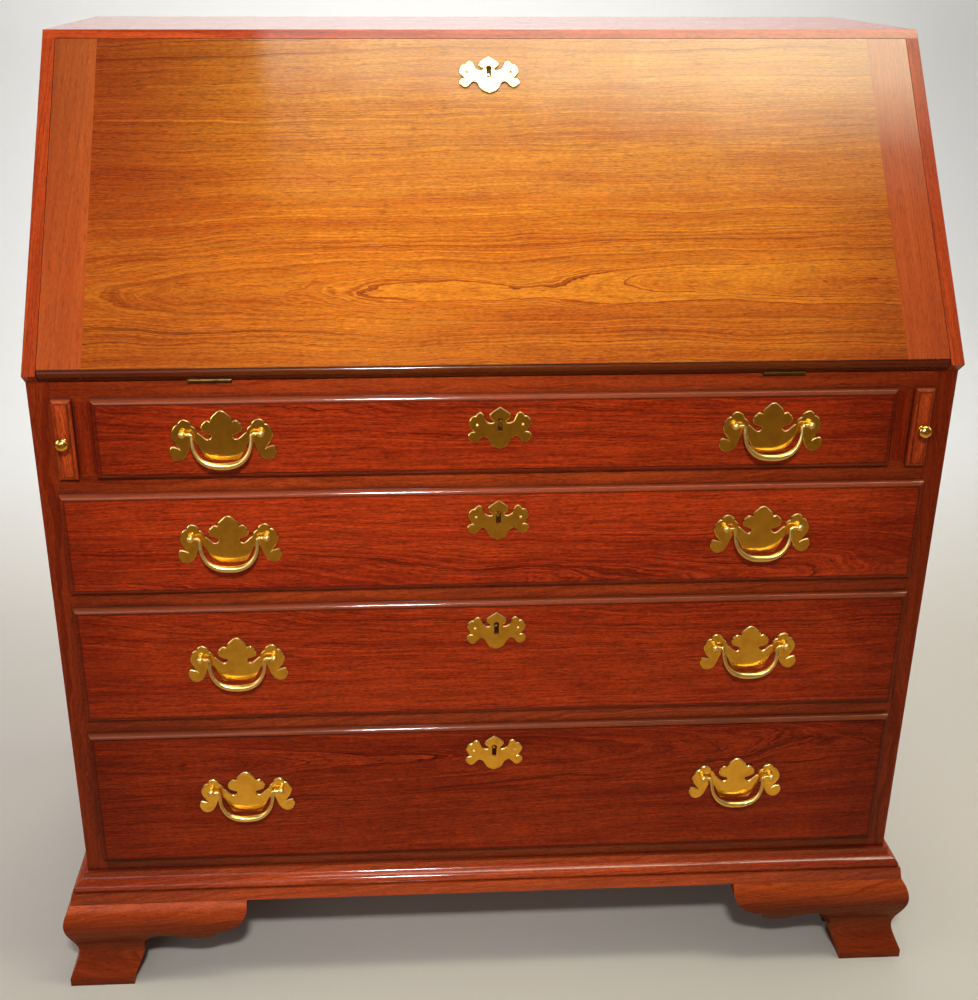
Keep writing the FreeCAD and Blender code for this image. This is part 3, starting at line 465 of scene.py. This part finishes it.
# Each drawer front's pith along X, over its middle and behind its face, its lean, its stain, partly painted shade, and
# its gloss
DRAWERS = ((0.0, 0.060, 0.04, 4.0, 0.86, 0.45), (0.1, -0.05, 0.05, -3.4, 1.02, 0.40),
           (-0.1, 0.08, 0.04, 4.4, 0.90, 0.28), (0.0, 0.05, 0.03, -3.8, 0.70, 0.16))
for i, (pith_x, pith_z, depth, lean, stain_and_shade, coat) in enumerate(DRAWERS):
    name = "drawer_%d_" % (i + 1)
    low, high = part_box(name + "front")
    middle = (low + high) / 2
    wear(name + "front", lacquered_wood(name + "cherry", deeper(CASE_TONES, stain_and_shade),
                                        whole(ALONG_X, (pith_x, middle.z + pith_z, low.y + depth), (0, lean, 1.0)),
                                        rings=230.0, wander=0.03, lines=1.0, streaks=0.30, specks=0.26,
                                        coat=lip_gloss(low, high, coat, 0.8),
                                        finish=lipped(low, high, lip=0.45, reach=0.09, step_shade=0.5, toning=0.5)))
    low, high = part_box(name + "box")
    wear(name + "box", plain_wood(name + "poplar", split(X, high.x - DRAWER_WALL,
                                                         whole(ALONG_X, (0.1 * i, low.z - 0.1, 0.3)),
                                                         whole(ALONG_Y, (0.1 * i, low.z - 0.05, 0.6)), True)))

across = {"top_board": TOP_X, "writing_board": TOP_X, "bottom_board": TOP_X, "drawer_blade_1": ALONG_X,
          "drawer_blade_2": ALONG_X, "drawer_blade_3": ALONG_X, "base_moulding_front": ALONG_X}
for i, (name, axes) in enumerate(across.items()):
    low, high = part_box(name)
    middle = (low + high) / 2
    pith = (0.4 - 0.2 * i, middle.dot(Vector(axes[1])) + 0.03, middle.dot(Vector(axes[2])) + 0.08)
    # Painted shade: the bottom board's front is darkened for the shade under the lowest drawer, the blades partly so
    stain_and_shade = {"top_board": 1.0, "bottom_board": 0.55, "base_moulding_front": 1.1}.get(name, 0.85)
    ends = partial(toned_ends, first=low.x, last=high.x, reaches=(0.25, 0.30), left=0.7, right=0.6)
    wear(name, lacquered_wood(name + "_cherry", deeper(FRAME_TONES, stain_and_shade), whole(axes, pith, (0, 3 - i, 1)), lines=0.6,
                              streaks=0.18, specks=0.22,
                              coat={"top_board": 0.75, "base_moulding_front": 0.8}.get(name, 0.4),
                              finish=None if name == "top_board" else ends))

for label, side in (("left", -1), ("right", 1)):
    wear("base_moulding_" + label, lacquered_wood("base_%s_cherry" % label, FRAME_TONES,
                                                  whole(ALONG_Y, (0.2, 0.05, 0.4 * side), (0, 2, 1)), lines=0.6))
    low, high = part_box("loper_" + label)
    wear("loper_" + label, lacquered_wood("loper_%s_cherry" % label, FRAME_TONES,
                                          whole(ALONG_Z, (0.3, 0.4 * side, 0.03), (0, 2, 1)), lines=0.6,
                                          finish=lipped(low, high, lip=0.2, reach=0.004, step_shade=0.4,
                                                        step=LOPER_STEP)))
    low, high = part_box("foot_front_" + label)
    turn = split((side, 1, 0), FOOT_CORNER + low.y, whole(ALONG_X, (0.3 * side, 0.02, low.y + 0.09), (0, 3, 1)),
                 whole(ALONG_Y, (-0.2, 0.02, 0.36 * side), (0, 3, 1)))
    # Painted shade: the front feet are darkened for the shade low down, the right one more
    wear("foot_front_" + label, lacquered_wood("foot_front_%s_cherry" % label, deeper(FRAME_TONES, 0.58 - 0.06 * side),
                                               turn, lines=0.4, streaks=0.12, specks=0.14, coat=0.25,
                                               finish=foot_finish))
    low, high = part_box("foot_rear_" + label)
    turn = split(Y, high.y - FOOT_BOARD, whole(ALONG_Y, (0.4, 0.02, 0.36 * side), (0, 3, 1)),
                 whole(ALONG_X, (0.3 * side, 0.02, high.y + 0.05), (0, 3, 1)))
    wear("foot_rear_" + label, lacquered_wood("foot_rear_%s_cherry" % label, deeper(CASE_TONES, 0.7), turn, lines=0.6))
wear("loper_partitions", lacquered_wood("partition_cherry", deeper(CASE_TONES, 0.7), whole(ALONG_Z, (0.3, 0.1, 0.06)),
                                        lines=0.5))

wear("gallery_shelves", lacquered_wood("shelf_cherry", INNER_TONES, whole(TOP_X, (0.3, 0.1, 0.7), (0, 2, 1))))
wear("gallery_dividers", lacquered_wood("divider_cherry", INNER_TONES, whole(ALONG_Z, (0.3, 0.1, 0.3), (0, 2, 1))))
for i in range(4):
    name = "gallery_drawer_%d" % (i + 1)
    low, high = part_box(name)
    wear(name, lacquered_wood(name + "_cherry", INNER_TONES,
                              whole(ALONG_X, (0.2 * i, low.z - 0.02, low.y + 0.06), (0, 2, 1))))

wear("back_panel", plain_wood("back_poplar", whole(ALONG_Z, (0.2, 0.1, 0.36), (0, 2, 1))))
wear("drawer_runners", plain_wood("runner_poplar", whole(ALONG_Y, (0.2, 0.1, 0.2), (0, 2, 1))))
wear("base_rails", plain_wood("rail_poplar", whole(ALONG_X, (0.2, 0.1, 0.1), (0, 2, 1))))

GOLD = brass("polished_brass", (0.92, 0.59, 0.098), (0.80, 0.45, 0.068), 0.14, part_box("drawer_1_front")[0].y - 0.0022)
# Painted reflection: the lid's lock is made pale for the glare it mirrors
GLARE_BRASS = brass("bright_brass", (0.90, 0.72, 0.38), (0.80, 0.58, 0.26), 0.16)
# Painted highlight: the bails get the pale gold of their glints
GLINT_BRASS = brass("glint_brass", GLINT_GOLD, (0.92, 0.62, 0.18), 0.28)
KNOB = brass("knob_brass", (0.92, 0.52, 0.10), (0.82, 0.44, 0.07), 0.18)
# Painted shade: a near-black brass for the hinge leaves, which sit in shade under the lid's lip; the bolts wear it too
SHADE_DARK_BRASS = brass("shade_dark_brass", (0.14, 0.075, 0.022), (0.10, 0.05, 0.014), 0.40)
for name in nodes:
    if "brasses" in name:
        wear(name, GOLD)
    if name == "lid_lock":
        wear(name, GLARE_BRASS)
    if "_bail_" in name:
        wear(name, GLINT_BRASS)
    if "loper_knob" in name:
        wear(name, KNOB)
    if "hinge_leaves" in name or "bolt" in name:
        wear(name, SHADE_DARK_BRASS)


def stage_material():
    """A plain matt floor, warmer and darker in front, that grows paler up the wall behind. Reflections show its front
    brown, and the camera sees it fade into the room far in front and aside."""
    material, t, shader = new_material("pale_floor")
    depth = t.along(Y)
    back = t.fit(depth, 0.3, 1.6, smooth=True)
    near = t.fit(depth, -1.9, -0.45, 1.0, 0.0, smooth=True)
    cloud = t.noise(t.rest(), (0.8, 0.8, 0.8), 3.0)
    floor = t.mix(near, t.mix(cloud, (0.57, 0.53, 0.47), (0.61, 0.57, 0.51)), (0.42, 0.33, 0.22))
    rays = t.add("ShaderNodeLightPath")
    colour = t.mix(back, floor, (0.80, 0.79, 0.77))
    mirrored = t.math("MULTIPLY", rays.outputs["Is Glossy Ray"], t.fit(depth, 0.5, -0.1))
    t.feed(shader.inputs["Base Color"], t.mix(mirrored, colour, FLOOR_MIRRORED, "MULTIPLY"))
    aside = t.math("ABSOLUTE", t.along(X))
    far = t.math("MAXIMUM", t.fit(depth, -1.5, -4.0, smooth=True), t.fit(aside, 1.7, 4.0, smooth=True))
    t.feed(shader.inputs["Emission Color"], (*ROOM, 1.0))
    far = t.math("MULTIPLY", far, rays.outputs["Is Camera Ray"])
    t.feed(shader.inputs["Emission Strength"], t.math("MULTIPLY", far, 0.8))
    shader.inputs["Roughness"].default_value = 0.8
    shader.inputs["Specular IOR Level"].default_value = 0.2
    return material


def sweep():
    """A floor that curves up into a wall behind."""
    reach, back, bend, top, steps = 6.0, 2.4, 0.8, 4.0, 12
    profile = [(-reach, 0.0), (back, 0.0)]
    for step in range(1, steps + 1):
        angle = math.pi / 2 * step / steps
        profile.append((back + bend * math.sin(angle), bend * (1 - math.cos(angle))))
    profile.append((back + bend, top))
    mesh = bmesh.new()
    rows = [[mesh.verts.new((x, y, z)) for x in (-reach, reach)] for y, z in profile]
    for near, far in zip(rows, rows[1:]):
        mesh.faces.new((near[0], near[1], far[1], far[0])).smooth = True
    data = bpy.data.meshes.new("floor")
    mesh.to_mesh(data)
    mesh.free()
    data.materials.append(stage_material())
    floor = bpy.data.objects.new("floor", data)
    scene.collection.objects.link(floor)


def lamp(name, place, target, size, watts, spread=180.0, colour=(1.0, 1.0, 1.0)):
    """An area lamp that faces a target."""
    data = bpy.data.lights.new(name, "AREA")
    data.color = colour
    data.shape = "RECTANGLE"
    data.size, data.size_y = size
    data.energy = watts
    data.spread = math.radians(spread)
    lamp_object = bpy.data.objects.new(name, data)
    lamp_object.location = place
    lamp_object.rotation_euler = (Vector(target) - Vector(place)).to_track_quat("-Z", "Y").to_euler()
    scene.collection.objects.link(lamp_object)


sweep()

# Two sets of lamps face down. One lights the desk and is fainter the farther forward its lamps reach. The other, hung
# lower and stepped so that it has no hard edge, is the warm glare on the lid. Strengths are watts over an area.
DOWN_SPREAD = 130.0
OVERHEAD_HEIGHT, OVERHEAD_MIDDLE, OVERHEAD_WIDTH, OVERHEAD_BACK = 2.60, 0.50, 1.75, 0.67
OVERHEAD_ROWS = ((-0.52, 10.0), (-0.63, 5.4), (-0.76, 2.6), (-0.89, 1.3))
GLARE_HEIGHT, GLARE_RIGHT, GLARE_BACK, GLARE_STRENGTH = 2.57, 1.475, -0.28, 2.5
GLARE_COLOUR = (0.92, 0.90, 0.58)
for row, (front, strength) in enumerate(OVERHEAD_ROWS):
    depth = OVERHEAD_BACK - front
    middle = (OVERHEAD_MIDDLE, front + depth / 2)
    lamp("overhead_%d" % (row + 1), (*middle, OVERHEAD_HEIGHT), (*middle, 0.0), (OVERHEAD_WIDTH, depth),
         strength * depth, DOWN_SPREAD)
for step in range(6):
    left, front = -0.375 + 0.2 * step, -0.60 - 0.024 * step
    middle = ((left + GLARE_RIGHT) / 2, (front + GLARE_BACK) / 2)
    width, depth = GLARE_RIGHT - left, GLARE_BACK - front
    lamp("glare_%d" % (step + 1), (*middle, GLARE_HEIGHT - 0.02 * step), (*middle, 0.0), (width, depth),
         GLARE_STRENGTH * width * depth, DOWN_SPREAD, GLARE_COLOUR)
lamp("front", (-0.10, -1.80, 1.95), (-0.16, -0.2, 0.80), (0.20, 0.14), 5.2, 64.0)
lamp("room", (-1.6, -3.3, 1.9), (-0.2, 0.0, 0.7), (2.2, 1.8), 6.0, 100.0)
lamp("left", (-2.2, -0.3, 1.5), (0.0, 0.1, 0.5), (1.2, 1.2), 6.0, 110.0)
lamp("right", (2.2, 0.1, 1.5), (0.0, 0.15, 0.5), (1.2, 1.2), 2.4, 110.0)
lamp("back", (0.3, 2.2, 2.4), (0.0, 0.6, 0.5), (1.6, 1.0), 20.0)
lamp("backdrop", (0.0, 1.5, 2.9), (0.0, 3.2, 1.2), (3.0, 0.6), 46.0, 130.0)


def surroundings():
    """Faint even light, seen by the camera as a pale room."""
    world = bpy.data.worlds.new("studio")
    scene.world = world
    world.use_nodes = True
    t = Tree(world.node_tree)
    faint = world.node_tree.nodes["Background"]
    t.feed(faint.inputs["Color"], (1.0, 0.99, 0.97, 1.0))
    t.feed(faint.inputs["Strength"], 0.1)
    seen = t.add("ShaderNodeBackground")
    t.feed(seen.inputs["Color"], (*ROOM, 1.0))
    either = t.add("ShaderNodeMixShader")
    t.feed(either.inputs[0], t.add("ShaderNodeLightPath").outputs["Is Camera Ray"])
    t.feed(either.inputs[1], faint.outputs[0])
    t.feed(either.inputs[2], seen.outputs[0])
    t.feed(world.node_tree.nodes["World Output"].inputs["Surface"], either.outputs[0])


surroundings()


def photo_camera():
    """The camera that the desk's straight edges gave."""
    data = bpy.data.cameras.new("camera")
    data.sensor_width = 36.0
    data.lens = 46.75
    data.shift_x = 0.0353
    data.shift_y = -0.0122
    eye = (-0.1104, -1.44537, 1.1051)
    yaw, pitch, roll = (math.radians(a) for a in (3.089, 22.555, 0.2))
    forward = Vector((math.sin(yaw) * math.cos(pitch), math.cos(yaw) * math.cos(pitch), -math.sin(pitch)))
    right = Vector((math.cos(yaw), -math.sin(yaw), 0.0))
    up = right.cross(forward)
    turned = right * math.cos(roll) + up * math.sin(roll)
    upward = up * math.cos(roll) - right * math.sin(roll)
    camera = bpy.data.objects.new("camera", data)
    camera.matrix_world = Matrix.Translation(eye) @ Matrix((turned, upward, -forward)).transposed().to_4x4()
    scene.collection.objects.link(camera)
    scene.camera = camera


photo_camera()
scene.view_settings.view_transform = "Standard"
